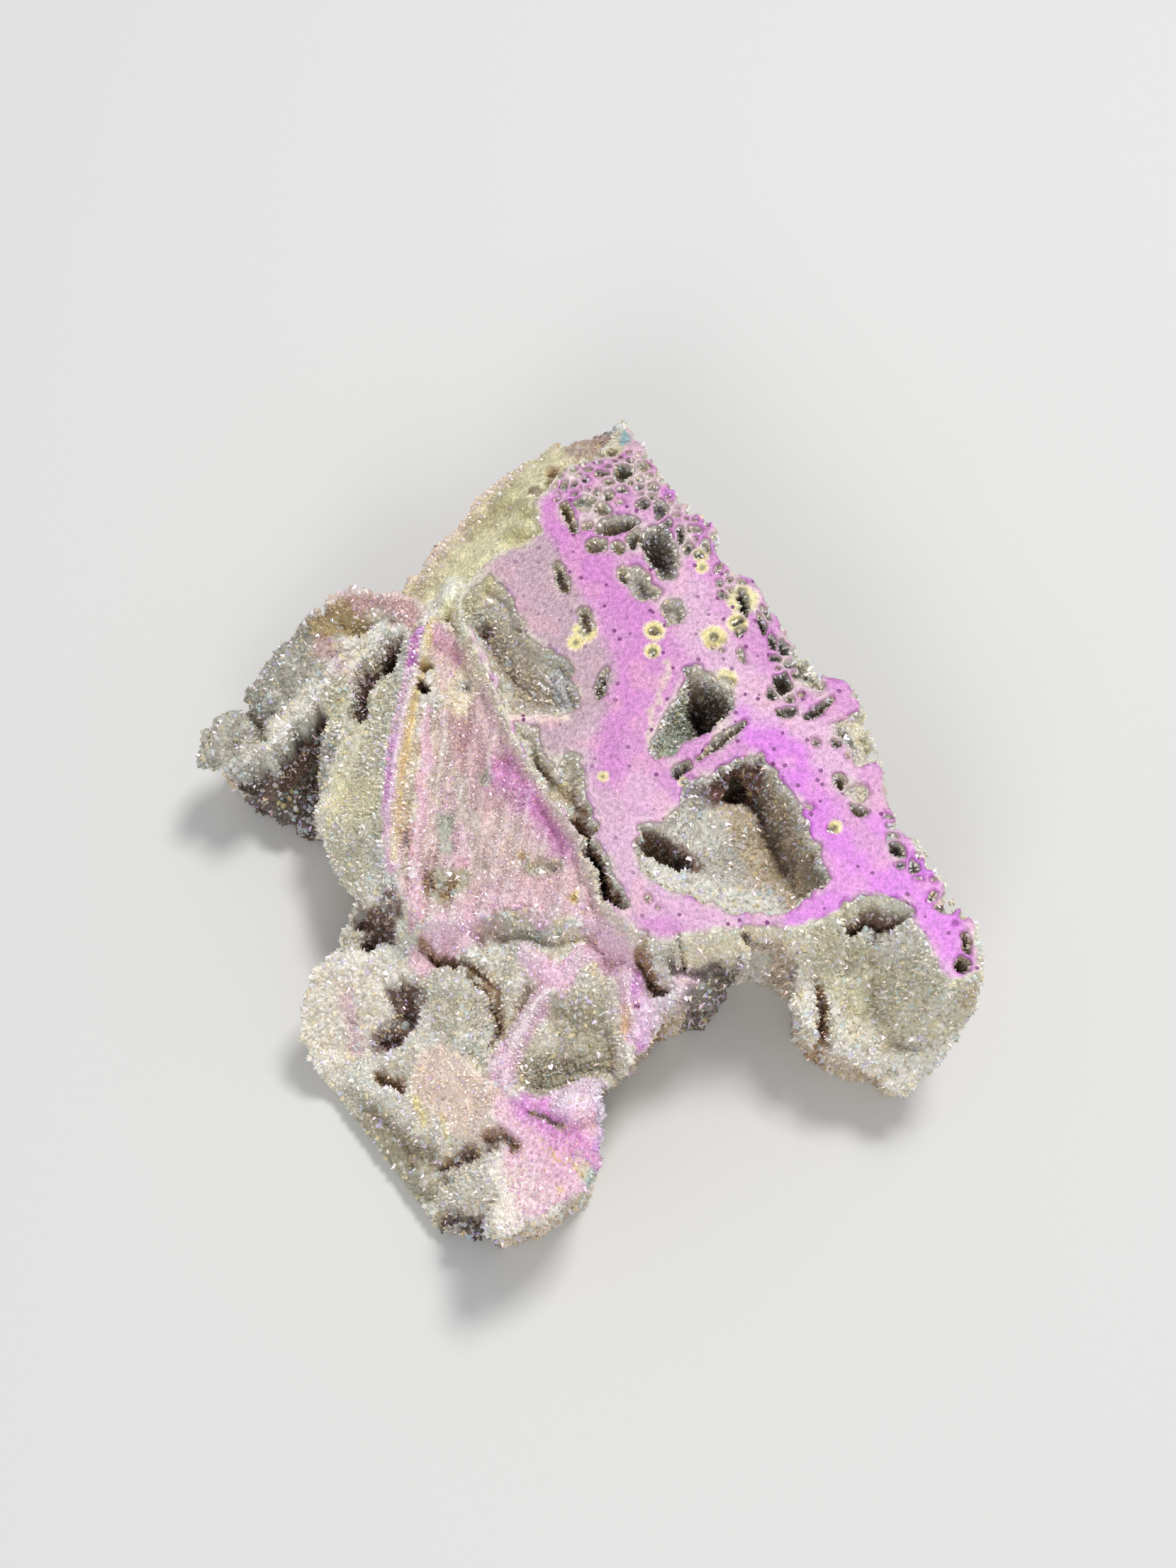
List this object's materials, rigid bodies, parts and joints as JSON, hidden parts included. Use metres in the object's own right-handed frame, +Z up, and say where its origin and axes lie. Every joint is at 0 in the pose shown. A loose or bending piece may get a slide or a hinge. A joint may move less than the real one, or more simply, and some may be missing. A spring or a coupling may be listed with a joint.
{
  "type": "coated druzy quartz slab",
  "caption": "Broken hand-sized slab of druzy quartz with a flat pink iridescent skin, deep crystal-lined hollows, folds, a side arm and two feet, on a flat sawn underside.",
  "frame": {"origin": "on the flat sawn underside, under the middle of the stone's box", "axes": "+Z up from the underside to the coated skin, +Y along the stone's long way to its narrow tip, +X to the side with the coated band"},
  "size_m": [0.0786, 0.0866, 0.024],
  "materials": {
    "coated_quartz": "satin",
    "druse": "gloss"
  },
  "bodies": {
    "root": {"slab": "coated_quartz", "great_hollow_crust": "druse", "north_hollow_crust": "druse", "west_hollow_crust": "druse"}
  },
  "joints": []
}
